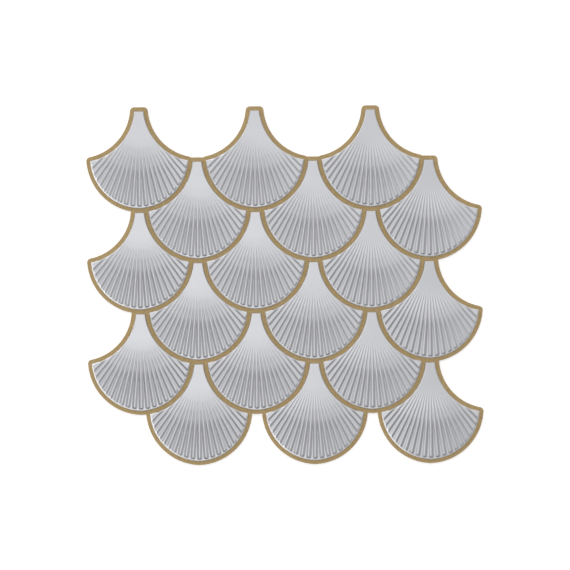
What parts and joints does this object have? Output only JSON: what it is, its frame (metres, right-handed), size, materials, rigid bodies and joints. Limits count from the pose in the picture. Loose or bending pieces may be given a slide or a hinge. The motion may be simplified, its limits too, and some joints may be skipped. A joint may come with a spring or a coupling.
{
  "type": "peel and stick backsplash tile",
  "caption": "Self-adhesive wall mosaic sheet: silver fan-shaped scales with radiating reeds in staggered rows on a gold backing that shows as thin joints and a border.",
  "frame": {"origin": "middle of the adhesive back of the sheet", "axes": "+Z out of the face, +X along the rows, +Y towards the necks of the scales"},
  "size_m": [0.3004, 0.2725, 0.003],
  "materials": {
    "gold_backing": "matte",
    "silver_scale": "satin"
  },
  "bodies": {
    "root": {"backing_sheet": "gold_backing", "scallop_row1": "silver_scale", "scallop_row2": "silver_scale", "scallop_row3": "silver_scale", "scallop_row4": "silver_scale", "scallop_row5": "silver_scale", "scallop_row6": "silver_scale"}
  },
  "joints": []
}
